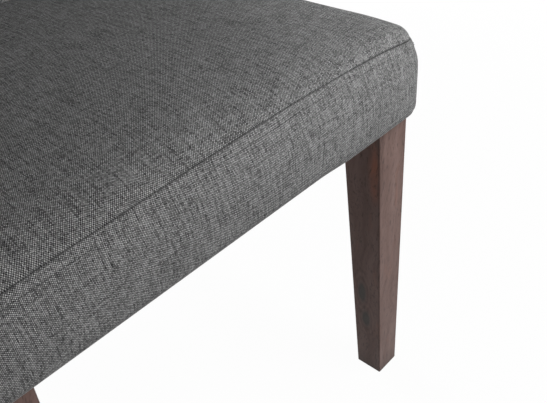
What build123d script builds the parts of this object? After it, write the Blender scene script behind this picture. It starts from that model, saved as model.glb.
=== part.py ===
from build123d import *
import os
from math import cos, radians, sin, sqrt, tan

# Dining chair with an upholstered seat and back on tapered wooden legs.
# Millimetres. +Z is up, the front of the seat faces -Y, the floor is Z = 0.

# Seat cover
seat_width = 500.0  # across the front, fabric to fabric
seat_narrowing = 48.0  # how much narrower the seat is where it meets the back
seat_depth = 420.0  # front of the cover to the face of the back
seat_underside = 377.0  # floor to the lower edge of the cover
boxing_height = 73.0  # lower edge to the seam at the front corners
swell_height = 39.0  # lower edge to the fullest line of the boxing
seam_inset = 8.6  # how far the boxing draws in from there to the seam
hem_inset = 0.5  # how far it draws in to the lower edge
seat_crown = 8.0  # rise of the top panel from the corner seams to its middle
seat_corner_radius = 27.0
hem_width = 30.0
fabric_thickness = 1.2
cover_overhang = 13.0  # cover to the outer faces of the legs

# Back cover
back_height = 505.0  # along the back, from the seat to the top edge
back_thickness = 70.0
back_lean = 10.0  # degrees
back_crown = 11.0  # fullness of the inside panel across the back
back_corner_radius = 34.0
back_rear_inset = 3.0  # how far the boxing is drawn in at the outside panel
tuck_length = 24.0  # tail of the inside panel behind the seat

# Legs and posts
leg_width = 46.5  # square of a leg where it meets the frame
foot_width = 34.5
rear_leg_rake = 10.0  # degrees
edge_chamfer = 0.8
foot_chamfer = edge_chamfer / 2
post_width = 34.0
post_depth = 34.0

# Seat frame
rail_height = 50.0
rail_thickness = 22.0
tenon_length = 20.0
tenon_thickness = 10.0
tenon_shoulder = 7.0  # above and below each tenon
block_reach = 62.0  # along each rail from the leg
block_height = 36.0

# Back frame
back_rail_height = 48.0
back_rail_thickness = 22.0
lower_rail_rise = 18.0  # seat line to the lower rail, along the back
middle_rail_rise = 215.0
board_thickness = 3.0

# Seat deck
web_width = 50.0
web_thickness = 2.0
web_count_long = 4
web_count_cross = 4
web_margin = 4.0  # strap end to the outer face of its rail
dust_cover_thickness = 0.8
dust_cover_inset = 15.0

# Clearances
soft_gap = 0.3  # round foam and fabric
joint_gap = 0.2  # round tenons and blocks

# Levels and widths
seat_rear_width = seat_width - seat_narrowing
lean = radians(back_lean)
rail_bottom = seat_underside + fabric_thickness + soft_gap
rail_top = rail_bottom + rail_height
rail_middle = (rail_bottom + rail_top) / 2
deck_top = rail_top + 2 * web_thickness
seam_level = seat_underside + boxing_height
seat_top = seam_level + seat_crown
fullest_level = seat_underside + swell_height
tuck_level = seat_top - tuck_length
padding_inset = fabric_thickness + soft_gap

# Depths behind the face of the back, square to it
post_rear = back_thickness - cover_overhang
post_front = post_rear - post_depth
board_front = post_front - board_thickness
leg_front = post_rear - leg_width * cos(lean)
post_top = back_height - cover_overhang
frame_corner_radius = back_corner_radius - cover_overhang

# The chair is centred on Z between the front of the cover and the rear of the back.
overall_depth = (
    seat_depth + back_height * sin(lean) + (back_thickness + fabric_thickness) * cos(lean)
)
front_y = -overall_depth / 2
face_y = front_y + seat_depth

back_plane = Plane(origin=(0, face_y, seat_top), x_dir=(1, 0, 0), z_dir=(0, -cos(lean), sin(lean)))


def lean_y(height, depth):
    """Y of the point at a height, a depth behind the face of the back."""
    return face_y + (height - seat_top) * tan(lean) + depth / cos(lean)


def back_point(x, rise, depth):
    """Point at a rise along the back and a depth behind its face."""
    return (
        x,
        face_y + rise * sin(lean) + depth * cos(lean),
        seat_top + rise * cos(lean) - depth * sin(lean),
    )


# Plan of the seat frame
side_taper = (seat_width - seat_rear_width) / 2 / seat_depth
leg_out = seat_width / 2 - cover_overhang
leg_in = leg_out - leg_width
leg_y0 = front_y + cover_overhang
leg_y1 = leg_y0 + leg_width
rear_out = seat_rear_width / 2 - cover_overhang
rear_in = rear_out - leg_width
rear_leg_y = lean_y(rail_bottom, leg_front)
front_rail_back = leg_y0 + rail_thickness
rear_rail_y = (lean_y(rail_top, leg_front) + lean_y(rail_bottom, post_rear)) / 2
rear_rail_front = rear_rail_y - rail_thickness / 2
tenon_height = rail_height - 2 * tenon_shoulder


def cover_x(y):
    """Half width of the seat cover at Y."""
    return seat_width / 2 - side_taper * (y - front_y)


def rail_x(y):
    """Outer face of a side rail at Y."""
    return leg_out - (leg_out - rear_out) * (y - leg_y1) / (rear_leg_y - leg_y1)


def ball_radius(half_chord, rise):
    """Radius of an arc from its half chord and its rise."""
    return (half_chord**2 + rise**2) / (2 * rise)


def arc_inset(radius, reach):
    """How far an arc draws in at a reach from its fullest point."""
    return radius - sqrt(radius**2 - reach**2)


# Crown of the seat: one large ball. Crown of the back: one large drum along the back.
seat_middle_y = (front_y + face_y) / 2
seat_ball = ball_radius(sqrt((seat_width / 2 - seam_inset) ** 2 + (seat_depth / 2) ** 2), seat_crown)
back_drum = ball_radius(seat_rear_width / 2 - seam_inset, back_crown)
band_foot = seat_underside - seat_top - back_thickness
foot_plane = Plane(back_point(0, band_foot, 0), x_dir=(1, 0, 0), z_dir=(0, sin(lean), cos(lean)))

# The boxing draws in further above its corner seams, and in front of the face of the back.
seat_rim_inset = arc_inset(ball_radius(boxing_height - swell_height, seam_inset), seat_top - fullest_level)
back_rim_inset = arc_inset(ball_radius(back_thickness / 2, seam_inset), back_thickness / 2 + back_crown)


def seat_corners(inset):
    """Corners of the seat outline from rear right to rear left, drawn in by an inset."""
    y0 = front_y + inset
    y1 = lean_y(seat_underside, back_thickness / 2)
    x0 = cover_x(y0) - inset
    x1 = cover_x(y1) - inset
    return (x1, y1), (x0, y0), (-x0, y0), (-x1, y1)


def back_corners(inset):
    """Corners of the back outline from foot to foot, drawn in by an inset."""
    x = seat_rear_width / 2 - inset
    top = back_height - inset
    return (x, band_foot), (x, top), (-x, top), (-x, band_foot)


def outline_face(plane, corners, radius):
    """Face on a plane inside an outline whose middle corners are rounded."""
    with BuildSketch(plane, mode=Mode.PRIVATE) as outline:
        with BuildLine():
            FilletPolyline(*corners, radius=radius)
            Line(corners[-1], corners[0])
        make_face()
    return outline.sketch


def swell_cutter(plane, near, full, far, near_inset, far_inset):
    """Face on a plane outside the profile of a boxing that is fullest at one line."""
    with BuildSketch(plane, mode=Mode.PRIVATE) as cutter:
        with BuildLine():
            TangentArc((0, full), (-near_inset, near), tangent=(0, near - full))
            TangentArc((0, full), (-far_inset, far), tangent=(0, far - full))
            Polyline(
                (-near_inset, near),
                (-near_inset, near - cover_overhang),
                (cover_overhang, near - cover_overhang),
                (cover_overhang, far + cover_overhang),
                (-far_inset, far + cover_overhang),
                (-far_inset, far),
            )
        make_face()
    return cutter.sketch


def crown_cutter(inset):
    """Face across the back, in front of its crown drawn in by an inset."""
    x = seat_rear_width / 2 + cover_overhang
    apex = inset - back_crown
    side = apex + arc_inset(back_drum, x)
    with BuildSketch(foot_plane, mode=Mode.PRIVATE) as cutter:
        with BuildLine():
            ThreePointArc((-x, side), (0, apex), (x, side))
            Polyline((x, side), (x, -2 * back_crown), (-x, -2 * back_crown), (-x, side))
        make_face()
    return cutter.sketch


def seat_form(inset):
    """Seat block with swelling sides and a crowned top, drawn in all round by an inset."""
    corners = seat_corners(inset)
    radius = seat_corner_radius - inset
    run = Vector(*corners[1]) - Vector(*corners[0])
    start = Plane(corners[0], x_dir=(-run.Y, run.X), z_dir=(run.X, run.Y))
    with BuildPart() as form:
        block = outline_face(Plane.XY.offset(seat_underside + inset), corners, radius)
        extrude(block, amount=seat_top - seat_underside - inset)
        with BuildLine() as rim:
            FilletPolyline(*corners, radius=radius)
        cutter = swell_cutter(start, seat_underside, fullest_level, seat_top, hem_inset, seat_rim_inset)
        sweep(cutter, path=rim.wires()[0], mode=Mode.SUBTRACT)
        with Locations((0, seat_middle_y, seat_top - inset - seat_ball)):
            Sphere(seat_ball, rotation=(90, 0, 0), mode=Mode.INTERSECT)
        split(bisect_by=back_plane.offset(soft_gap), keep=Keep.TOP)
        with BuildSketch(foot_plane):
            with Locations((0, back_drum - back_crown)):
                Circle(back_drum + soft_gap)
        extrude(amount=back_height, mode=Mode.SUBTRACT)
    return form.part


def back_form(inset):
    """Back block with swelling sides and a crowned face, drawn in all round by an inset."""
    corners = back_corners(inset)
    radius = back_corner_radius - inset
    start = Plane(back_point(*corners[0], 0), x_dir=(1, 0, 0), z_dir=foot_plane.z_dir)
    with BuildPart() as form:
        block = outline_face(back_plane.offset(-back_thickness), corners, radius)
        extrude(block, amount=back_thickness + back_crown)
        with BuildLine(back_plane) as rim:
            FilletPolyline(*corners, radius=radius)
        cutter = swell_cutter(
            start, -back_crown, back_thickness / 2, back_thickness, back_rim_inset, back_rear_inset
        )
        sweep(cutter, path=rim.wires()[0], mode=Mode.SUBTRACT)
        extrude(crown_cutter(inset), amount=2 * back_height, mode=Mode.SUBTRACT)
        split(bisect_by=Plane.XY.offset(seat_underside + inset), keep=Keep.TOP)
    return form.part


def frame_plan():
    """Outline of the legs and rails under the deck, grown by the soft clearance."""
    with BuildSketch(Plane.XY.offset(seat_underside), mode=Mode.PRIVATE) as plan:
        with BuildLine():
            Polyline(
                (-leg_out - soft_gap, leg_y0 - soft_gap),
                (leg_out + soft_gap, leg_y0 - soft_gap),
                (leg_out + soft_gap, leg_y1),
                (rail_x(face_y) + soft_gap, face_y),
                (-rail_x(face_y) - soft_gap, face_y),
                (-leg_out - soft_gap, leg_y1),
                close=True,
            )
        make_face()
    return plan.sketch


deck_plane = Plane.XY.offset(deck_top)
far = seat_width + back_height

os.makedirs("parts", exist_ok=True)


def is_upright(edge):
    """Whether an edge runs up and down a leg."""
    return abs(edge.tangent_at(0).Z) > 0.9


# Front legs: vertical outer faces, inner faces tapered to the foot, square post in the frame
with BuildPart() as front_leg_right:
    with BuildSketch():
        with Locations((leg_out, leg_y0)):
            Rectangle(leg_width, leg_width, align=(Align.MAX, Align.MIN))
    extrude(amount=rail_bottom)
    with BuildSketch(Plane.XZ):
        with BuildLine():
            Polyline((leg_in, 0), (leg_out - foot_width, 0), (leg_in, rail_bottom), close=True)
        make_face()
    extrude(amount=far, both=True, mode=Mode.SUBTRACT)
    with BuildSketch(Plane.YZ):
        with BuildLine():
            Polyline((leg_y1, 0), (leg_y0 + foot_width, 0), (leg_y1, rail_bottom), close=True)
        make_face()
    extrude(amount=far, both=True, mode=Mode.SUBTRACT)
    chamfer(front_leg_right.edges().filter_by(is_upright), edge_chamfer)
    chamfer(front_leg_right.faces().sort_by(Axis.Z)[0].edges(), foot_chamfer)
    with BuildSketch(Plane.XY.offset(rail_bottom)):
        with Locations((leg_out, leg_y0)):
            Rectangle(leg_width, leg_width, align=(Align.MAX, Align.MIN))
    extrude(amount=rail_height)
    with Locations((leg_in, leg_y0 + rail_thickness / 2, rail_middle)):
        Box(2 * (tenon_length + joint_gap), tenon_thickness + 2 * joint_gap,
            tenon_height + 2 * joint_gap, mode=Mode.SUBTRACT)
    with Locations((leg_out - rail_thickness / 2, leg_y1, rail_middle)):
        Box(tenon_thickness + 2 * joint_gap, 2 * (tenon_length + joint_gap),
            tenon_height + 2 * joint_gap, mode=Mode.SUBTRACT)
front_leg_right.part.label = "front_leg_right"
export_step(front_leg_right.part, "parts/front_leg_right.step")

with BuildPart() as front_leg_left:
    mirror(front_leg_right.part, about=Plane.YZ)
front_leg_left.part.label = "front_leg_left"
export_step(front_leg_left.part, "parts/front_leg_left.step")

# Rear legs: one bent piece, raked below the seat and leaning back above it
knee_y = lean_y(rail_bottom, post_rear)
foot_y = knee_y + rail_bottom * tan(radians(rear_leg_rake))
shoulder = post_front - leg_front
post_in = rear_out - post_width
back_rail_rises = (
    lower_rail_rise + back_rail_height / 2,
    middle_rail_rise + back_rail_height / 2,
    post_top - back_rail_height / 2,
)
back_tenon_front = post_front + (back_rail_thickness - tenon_thickness) / 2
back_tenon_height = back_rail_height - 2 * tenon_shoulder

with BuildPart() as rear_leg_right:
    with BuildSketch(Plane.YZ.offset(rear_out)):
        with BuildLine():
            Polyline(
                (foot_y - foot_width, 0),
                (foot_y, 0),
                (knee_y, rail_bottom),
                (rear_leg_y, rail_bottom),
                close=True,
            )
        make_face()
    extrude(amount=-leg_width)
    with BuildSketch(Plane.XZ):
        with BuildLine():
            Polyline((rear_in, 0), (rear_out - foot_width, 0), (rear_in, rail_bottom), close=True)
        make_face()
    extrude(amount=far, both=True, mode=Mode.SUBTRACT)
    chamfer(rear_leg_right.edges().filter_by(is_upright), edge_chamfer)
    chamfer(rear_leg_right.faces().sort_by(Axis.Z)[0].edges(), foot_chamfer)
    with BuildSketch(Plane.YZ.offset(rear_out)):
        with BuildLine():
            Polyline(
                (knee_y, rail_bottom),
                back_point(0, post_top, post_rear)[1:],
                back_point(0, post_top, post_front)[1:],
                (lean_y(rail_top + shoulder, post_front), rail_top + shoulder),
                (lean_y(rail_top, leg_front), rail_top),
                (rear_leg_y, rail_bottom),
                close=True,
            )
        make_face()
    extrude(amount=-leg_width)
    with BuildSketch(Plane.XZ):
        with Locations((rear_in, rail_top)):
            Rectangle(2 * (leg_width - post_width), 2 * back_height, align=(Align.CENTER, Align.MIN))
    extrude(amount=far, both=True, mode=Mode.SUBTRACT)
    top_edges = rear_leg_right.faces().sort_by(Axis.Z)[-1].edges()
    fillet(top_edges.sort_by(Axis.X)[-1], frame_corner_radius)
    with Locations((rear_out - rail_thickness / 2, rear_leg_y, rail_middle)):
        Box(tenon_thickness + 2 * joint_gap, 2 * (tenon_length + joint_gap),
            tenon_height + 2 * joint_gap, mode=Mode.SUBTRACT)
    with Locations((rear_in, rear_rail_y, rail_middle)):
        Box(2 * (tenon_length + joint_gap), tenon_thickness + 2 * joint_gap,
            tenon_height + 2 * joint_gap, mode=Mode.SUBTRACT)
    for rise in back_rail_rises:
        with BuildSketch(back_plane.offset(joint_gap - back_tenon_front)):
            with Locations((post_in, rise)):
                Rectangle(2 * (tenon_length + joint_gap), back_tenon_height + 2 * joint_gap)
        extrude(amount=-tenon_thickness - 2 * joint_gap, mode=Mode.SUBTRACT)
rear_leg_right.part.label = "rear_leg_right"
export_step(rear_leg_right.part, "parts/rear_leg_right.step")

with BuildPart() as rear_leg_left:
    mirror(rear_leg_right.part, about=Plane.YZ)
rear_leg_left.part.label = "rear_leg_left"
export_step(rear_leg_left.part, "parts/rear_leg_left.step")

# Front and rear rails with a tenon at each end
with BuildPart() as front_rail:
    with Locations((0, leg_y0 + rail_thickness / 2, rail_middle)):
        Box(2 * leg_in, rail_thickness, rail_height)
        Box(2 * (leg_in + tenon_length), tenon_thickness, tenon_height)
front_rail.part.label = "front_rail"
export_step(front_rail.part, "parts/front_rail.step")

with BuildPart() as rear_rail:
    with Locations((0, rear_rail_y, rail_middle)):
        Box(2 * rear_in, rail_thickness, rail_height)
        Box(2 * (rear_in + tenon_length), tenon_thickness, tenon_height)
rear_rail.part.label = "rear_rail"
export_step(rear_rail.part, "parts/rear_rail.step")

# Side rails, square to the front leg and cut to the lean of the rear leg
rail_end_y = lean_y(rail_top, leg_front)
with BuildPart() as side_rail_right:
    with BuildSketch(Plane.XY.offset(rail_bottom)):
        with BuildLine():
            Polyline(
                (leg_out, leg_y1),
                (rail_x(rail_end_y), rail_end_y),
                (rail_x(rail_end_y) - rail_thickness, rail_end_y),
                (leg_out - rail_thickness, leg_y1),
                close=True,
            )
        make_face()
    extrude(amount=rail_height)
    split(bisect_by=back_plane.offset(-leg_front), keep=Keep.TOP)
    with Locations((leg_out - rail_thickness / 2, leg_y1, rail_middle)):
        Box(tenon_thickness, 2 * tenon_length, tenon_height)
    with Locations((rear_out - rail_thickness / 2, rear_leg_y, rail_middle)):
        Box(tenon_thickness, 2 * tenon_length, tenon_height)
side_rail_right.part.label = "side_rail_right"
export_step(side_rail_right.part, "parts/side_rail_right.step")

with BuildPart() as side_rail_left:
    mirror(side_rail_right.part, about=Plane.YZ)
side_rail_left.part.label = "side_rail_left"
export_step(side_rail_left.part, "parts/side_rail_left.step")

# Corner blocks notched round the legs
front_block = (
    (leg_in - block_reach, front_rail_back),
    (leg_in - joint_gap, front_rail_back),
    (leg_in - joint_gap, leg_y1 + joint_gap),
    (rail_x(leg_y1 + joint_gap) - rail_thickness, leg_y1 + joint_gap),
    (rail_x(leg_y1 + block_reach) - rail_thickness, leg_y1 + block_reach),
)
rear_block = (
    (rear_in - block_reach, rear_rail_front),
    (rear_in - joint_gap, rear_rail_front),
    (rear_in - joint_gap, rear_leg_y - joint_gap),
    (rail_x(rear_leg_y - joint_gap) - rail_thickness, rear_leg_y - joint_gap),
    (rail_x(rear_leg_y - block_reach) - rail_thickness, rear_leg_y - block_reach),
)

with BuildPart() as corner_block_front_right:
    with BuildSketch(Plane.XY.offset(rail_middle)):
        with BuildLine():
            Polyline(*front_block, close=True)
        make_face()
    extrude(amount=block_height / 2, both=True)
corner_block_front_right.part.label = "corner_block_front_right"
export_step(corner_block_front_right.part, "parts/corner_block_front_right.step")

with BuildPart() as corner_block_front_left:
    mirror(corner_block_front_right.part, about=Plane.YZ)
corner_block_front_left.part.label = "corner_block_front_left"
export_step(corner_block_front_left.part, "parts/corner_block_front_left.step")

with BuildPart() as corner_block_rear_right:
    with BuildSketch(Plane.XY.offset(rail_middle)):
        with BuildLine():
            Polyline(*rear_block, close=True)
        make_face()
    extrude(amount=block_height / 2, both=True)
corner_block_rear_right.part.label = "corner_block_rear_right"
export_step(corner_block_rear_right.part, "parts/corner_block_rear_right.step")

with BuildPart() as corner_block_rear_left:
    mirror(corner_block_rear_right.part, about=Plane.YZ)
corner_block_rear_left.part.label = "corner_block_rear_left"
export_step(corner_block_rear_left.part, "parts/corner_block_rear_left.step")

# Back rails between the posts, flush with the posts' front faces, with a tenon at each end
def back_rail(rise):
    """One cross rail at a rise along the back."""
    with BuildPart() as rail:
        with BuildSketch(back_plane.offset(-post_front)):
            with Locations((0, rise)):
                Rectangle(2 * post_in, back_rail_height)
        extrude(amount=-back_rail_thickness)
        with BuildSketch(back_plane.offset(-back_tenon_front)):
            with Locations((0, rise)):
                Rectangle(2 * (post_in + tenon_length), back_tenon_height)
        extrude(amount=-tenon_thickness)
    return rail.part


for label, rise in zip(("back_lower_rail", "back_middle_rail", "back_top_rail"), back_rail_rises):
    rail = back_rail(rise)
    rail.label = label
    export_step(rail, f"parts/{label}.step")

# Backing board across the front of the back frame
with BuildPart() as back_board:
    with BuildSketch(back_plane.offset(-post_front)) as board_face:
        with Locations((0, lower_rail_rise)):
            Rectangle(2 * rear_out, post_top - lower_rail_rise, align=(Align.CENTER, Align.MIN))
        fillet(board_face.vertices().group_by(Axis.Z)[-1], frame_corner_radius)
    extrude(amount=board_thickness)
back_board.part.label = "back_board"
export_step(back_board.part, "parts/back_board.step")

# Seat webbing: straps along the seat, then straps across that step down to the side rails
web_front = leg_y0 + web_margin
web_rear = rear_rail_front + rail_thickness - web_margin
deck_half = rail_x(rear_rail_front) - rail_thickness
long_pitch = 2 * (deck_half - web_width / 2 - rail_thickness) / (web_count_long - 1)
cross_pitch = (rear_leg_y - leg_y1) / web_count_cross

with BuildPart() as seat_webbing_long:
    with BuildSketch(Plane.XY.offset(rail_top)):
        with Locations((0, (web_front + web_rear) / 2)):
            with GridLocations(long_pitch, 1, web_count_long, 1):
                Rectangle(web_width, web_rear - web_front)
    extrude(amount=web_thickness)
seat_webbing_long.part.label = "seat_webbing_long"
export_step(seat_webbing_long.part, "parts/seat_webbing_long.step")

step_x = long_pitch * (web_count_long - 1) / 2 + web_width / 2 + web_thickness
with BuildPart() as seat_webbing_cross:
    for n in range(web_count_cross):
        strap_y = leg_y1 + cross_pitch * (n + 0.5)
        end_x = rail_x(strap_y + web_width / 2) - web_margin
        with BuildSketch(Plane.XZ.offset(-strap_y)):
            with BuildLine():
                Polyline(
                    (0, rail_top + web_thickness),
                    (step_x, rail_top + web_thickness),
                    (step_x + 3 * web_thickness, rail_top),
                    (end_x, rail_top),
                    (end_x, rail_top + web_thickness),
                    (step_x + 3 * web_thickness, rail_top + web_thickness),
                    (step_x, deck_top),
                    (0, deck_top),
                    close=True,
                )
            make_face()
            mirror(about=Plane.YZ)
        extrude(amount=web_width / 2, both=True)
seat_webbing_cross.part.label = "seat_webbing_cross"
export_step(seat_webbing_cross.part, "parts/seat_webbing_cross.step")

# The seat block at the face of the cover, inside the cover, and inside the clearance
seat_cover = seat_form(0)
seat_lining = seat_form(fabric_thickness)
seat_filling = seat_form(padding_inset)

# Seat foam with its crown
with BuildPart() as seat_foam:
    add(seat_filling)
    split(bisect_by=Plane.XY.offset(deck_top + soft_gap), keep=Keep.TOP)
seat_foam.part.label = "seat_foam"
export_step(seat_foam.part, "parts/seat_foam.step")

# Padding on the outer faces of the rails
with BuildPart() as front_edge_padding:
    add(seat_filling)
    split(bisect_by=deck_plane, keep=Keep.BOTTOM)
    split(bisect_by=Plane.XZ.offset(soft_gap - leg_y0), keep=Keep.TOP)
front_edge_padding.part.label = "front_edge_padding"
export_step(front_edge_padding.part, "parts/front_edge_padding.step")

with BuildPart() as side_edge_padding_right:
    add(seat_filling)
    split(bisect_by=deck_plane, keep=Keep.BOTTOM)
    split(bisect_by=Plane.XZ.offset(-leg_y0), keep=Keep.BOTTOM)
    split(bisect_by=Plane.YZ, keep=Keep.TOP)
    extrude(frame_plan(), amount=rail_height + boxing_height, mode=Mode.SUBTRACT)
side_edge_padding_right.part.label = "side_edge_padding_right"
export_step(side_edge_padding_right.part, "parts/side_edge_padding_right.step")

with BuildPart() as side_edge_padding_left:
    mirror(side_edge_padding_right.part, about=Plane.YZ)
side_edge_padding_left.part.label = "side_edge_padding_left"
export_step(side_edge_padding_left.part, "parts/side_edge_padding_left.step")

# Seat cover: crowned top panel sewn to a boxing whose hem turns under the rails
with BuildPart() as seat_top_panel:
    add(seat_cover)
    with Locations((0, seat_middle_y, seat_top - fabric_thickness - seat_ball)):
        Sphere(seat_ball, rotation=(90, 0, 0), mode=Mode.SUBTRACT)
seat_top_panel.part.label = "seat_top_panel"
export_step(seat_top_panel.part, "parts/seat_top_panel.step")

with BuildPart() as seat_boxing:
    add(seat_cover)
    add(seat_lining, mode=Mode.SUBTRACT)
    add(seat_top_panel.part, mode=Mode.SUBTRACT)
    opening = outline_face(Plane.XY.offset(seat_underside), seat_corners(hem_width), seat_corner_radius)
    extrude(opening, amount=2 * fabric_thickness, mode=Mode.SUBTRACT)
    for sense in (-1, 1):
        with Locations((sense * (leg_out - leg_width / 2), leg_y0 + leg_width / 2, seat_underside)):
            Box(leg_width + 2 * soft_gap, leg_width + 2 * soft_gap, 4 * fabric_thickness,
                mode=Mode.SUBTRACT)
seat_boxing.part.label = "seat_boxing"
export_step(seat_boxing.part, "parts/seat_boxing.step")

# The back block at the face of the cover, inside the cover, and inside the clearance
back_cover = back_form(0)
back_lining = back_form(fabric_thickness)
back_filling = back_form(padding_inset)
edge_x = rail_x(lean_y(seat_underside, 0)) + soft_gap
top_of_posts = foot_plane.offset(post_top - band_foot)

# Back foam: a slab on the backing board with a crowned face
with BuildPart() as back_foam:
    add(back_filling)
    split(bisect_by=back_plane.offset(soft_gap - board_front), keep=Keep.TOP)
    split(bisect_by=Plane.XY.offset(rail_top + shoulder + soft_gap), keep=Keep.TOP)
back_foam.part.label = "back_foam"
export_step(back_foam.part, "parts/back_foam.step")

# Padding round the sides, the top and the rear of the back frame
with BuildPart() as back_edge_padding_right:
    add(back_filling)
    split(bisect_by=back_plane.offset(-post_rear), keep=Keep.TOP)
    split(bisect_by=Plane.YZ.offset(edge_x), keep=Keep.TOP)
    split(bisect_by=top_of_posts, keep=Keep.BOTTOM)
    add(back_foam.part, mode=Mode.SUBTRACT)
back_edge_padding_right.part.label = "back_edge_padding_right"
export_step(back_edge_padding_right.part, "parts/back_edge_padding_right.step")

with BuildPart() as back_edge_padding_left:
    mirror(back_edge_padding_right.part, about=Plane.YZ)
back_edge_padding_left.part.label = "back_edge_padding_left"
export_step(back_edge_padding_left.part, "parts/back_edge_padding_left.step")

with BuildPart() as back_top_padding:
    add(back_filling)
    split(bisect_by=back_plane.offset(-post_rear), keep=Keep.TOP)
    split(bisect_by=back_plane.offset(-board_front), keep=Keep.BOTTOM)
    split(bisect_by=top_of_posts.offset(soft_gap), keep=Keep.TOP)
back_top_padding.part.label = "back_top_padding"
export_step(back_top_padding.part, "parts/back_top_padding.step")

with BuildPart() as back_rear_padding:
    add(back_filling)
    split(bisect_by=back_plane.offset(-post_rear - soft_gap), keep=Keep.BOTTOM)
    split(bisect_by=back_plane.offset(soft_gap - back_thickness), keep=Keep.TOP)
back_rear_padding.part.label = "back_rear_padding"
export_step(back_rear_padding.part, "parts/back_rear_padding.step")

# Back cover: crowned inside panel tucked behind the seat, boxing, and outside panel
with BuildPart() as back_inside_panel:
    add(back_cover)
    extrude(crown_cutter(fabric_thickness), amount=2 * back_height, mode=Mode.INTERSECT)
    split(bisect_by=Plane.XY.offset(tuck_level), keep=Keep.TOP)
back_inside_panel.part.label = "back_inside_panel"
export_step(back_inside_panel.part, "parts/back_inside_panel.step")

with BuildPart() as back_boxing:
    add(back_cover)
    add(back_lining, mode=Mode.SUBTRACT)
    extrude(crown_cutter(fabric_thickness), amount=2 * back_height, mode=Mode.SUBTRACT)
    with BuildSketch(Plane.XY.offset(seat_underside)):
        with Locations((0, knee_y)):
            Rectangle(2 * (rear_out + soft_gap), back_thickness + 2 * leg_width)
    extrude(amount=fabric_thickness, mode=Mode.SUBTRACT)
back_boxing.part.label = "back_boxing"
export_step(back_boxing.part, "parts/back_boxing.step")

with BuildPart() as back_outside_panel:
    sheet = outline_face(
        back_plane.offset(-back_thickness),
        back_corners(back_rear_inset),
        back_corner_radius - back_rear_inset,
    )
    extrude(sheet, amount=-fabric_thickness)
    split(bisect_by=Plane.XY.offset(seat_underside), keep=Keep.TOP)
    with BuildSketch(Plane.XY.offset(seat_underside)):
        with Locations((0, lean_y(seat_underside, back_thickness + fabric_thickness / 2))):
            Rectangle(2 * (rear_in - soft_gap), hem_width, align=(Align.CENTER, Align.MAX))
    extrude(amount=fabric_thickness)
back_outside_panel.part.label = "back_outside_panel"
export_step(back_outside_panel.part, "parts/back_outside_panel.step")

# Dust cover under the seat, cut out round the legs
dust_rear = lean_y(seat_underside, back_thickness) - dust_cover_inset
with BuildPart() as dust_cover:
    with BuildSketch(Plane.XY.offset(seat_underside)):
        with BuildLine():
            Polyline(
                (-cover_x(front_y) + dust_cover_inset, front_y + dust_cover_inset),
                (cover_x(front_y) - dust_cover_inset, front_y + dust_cover_inset),
                (cover_x(dust_rear) - dust_cover_inset, dust_rear),
                (dust_cover_inset - cover_x(dust_rear), dust_rear),
                close=True,
            )
        make_face()
        for sense in (-1, 1):
            with Locations((sense * leg_out, leg_y0 + leg_width / 2)):
                Rectangle(2 * leg_width + 2 * soft_gap, leg_width + 2 * soft_gap, mode=Mode.SUBTRACT)
            with Locations((sense * rear_out, knee_y)):
                Rectangle(2 * leg_width + 2 * soft_gap, 2 * leg_width + 2 * soft_gap,
                          mode=Mode.SUBTRACT)
    extrude(amount=-dust_cover_thickness)
dust_cover.part.label = "dust_cover"
export_step(dust_cover.part, "parts/dust_cover.step")
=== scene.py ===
from math import atan, ceil, cos, pi, radians, sin, sqrt, tan

import bmesh
import bpy
import numpy as np
from mathutils import Matrix, Vector, noise


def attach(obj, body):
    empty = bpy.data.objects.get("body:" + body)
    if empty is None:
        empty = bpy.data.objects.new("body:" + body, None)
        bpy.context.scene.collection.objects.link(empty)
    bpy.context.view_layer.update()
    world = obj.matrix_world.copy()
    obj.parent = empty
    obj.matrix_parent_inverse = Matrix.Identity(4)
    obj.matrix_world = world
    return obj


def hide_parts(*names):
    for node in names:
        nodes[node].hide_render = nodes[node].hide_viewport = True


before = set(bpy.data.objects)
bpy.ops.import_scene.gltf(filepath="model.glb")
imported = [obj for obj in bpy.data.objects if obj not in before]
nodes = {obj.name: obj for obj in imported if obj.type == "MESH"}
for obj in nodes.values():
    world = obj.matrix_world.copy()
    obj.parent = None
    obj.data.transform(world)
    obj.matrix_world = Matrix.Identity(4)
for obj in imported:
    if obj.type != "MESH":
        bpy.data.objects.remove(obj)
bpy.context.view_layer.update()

# Sizes in metres, as in the solids
UNDERSIDE = 0.377  # floor to the lower edge of the seat cover
FULLEST = UNDERSIDE + 0.039  # where the seat's boxing swells out most
SEAM_LEVEL = UNDERSIDE + 0.073  # the seam at the front corners
SEAT_CROWN = 0.008
SEAT_TOP = SEAM_LEVEL + SEAT_CROWN
SEAT_DEPTH = 0.420
FRONT_Y = -0.288905
FACE_Y = FRONT_Y + SEAT_DEPTH  # face of the back at the seat
HALF_FRONT = 0.250
HALF_REAR = HALF_FRONT - 0.024
SEAT_TAPER = (HALF_FRONT - HALF_REAR) / SEAT_DEPTH
SEAM_INSET = 0.0086
HEM_INSET = 0.0005
SEAT_CORNER = 0.027
LEAN = radians(10)
BACK_HEIGHT = 0.505
BACK_THICK = 0.070
BACK_CROWN = 0.011
BACK_CORNER = 0.034
BACK_REAR_INSET = 0.003
OVERHANG = 0.013  # cover to the outer faces of the legs
LEG = 0.0465
FOOT = 0.0345
LEG_OUT = HALF_FRONT - OVERHANG
LEG_IN = LEG_OUT - LEG
LEG_Y0 = FRONT_Y + OVERHANG
LEG_Y1 = LEG_Y0 + LEG
FABRIC = 0.0012

# How the covers are laid out
FINE_STEP = 0.0045  # between the points of a finished cover
COARSE_STEP = 0.0095  # the same while it swells
FOLD = 0.0012  # height of the fold at the lower edge
CLEAR = 0.0008  # cover to the wood beside it
DOWN = (0, 0, -1)
LEG_MARGIN = 0.004  # the hem is cut short this far from a leg
STITCH_LINE = 0.0090  # seam to the stitching below it


def assign(thing, **values):
    """Sets several properties of a thing."""
    for key, value in values.items():
        setattr(thing, key, value)


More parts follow.
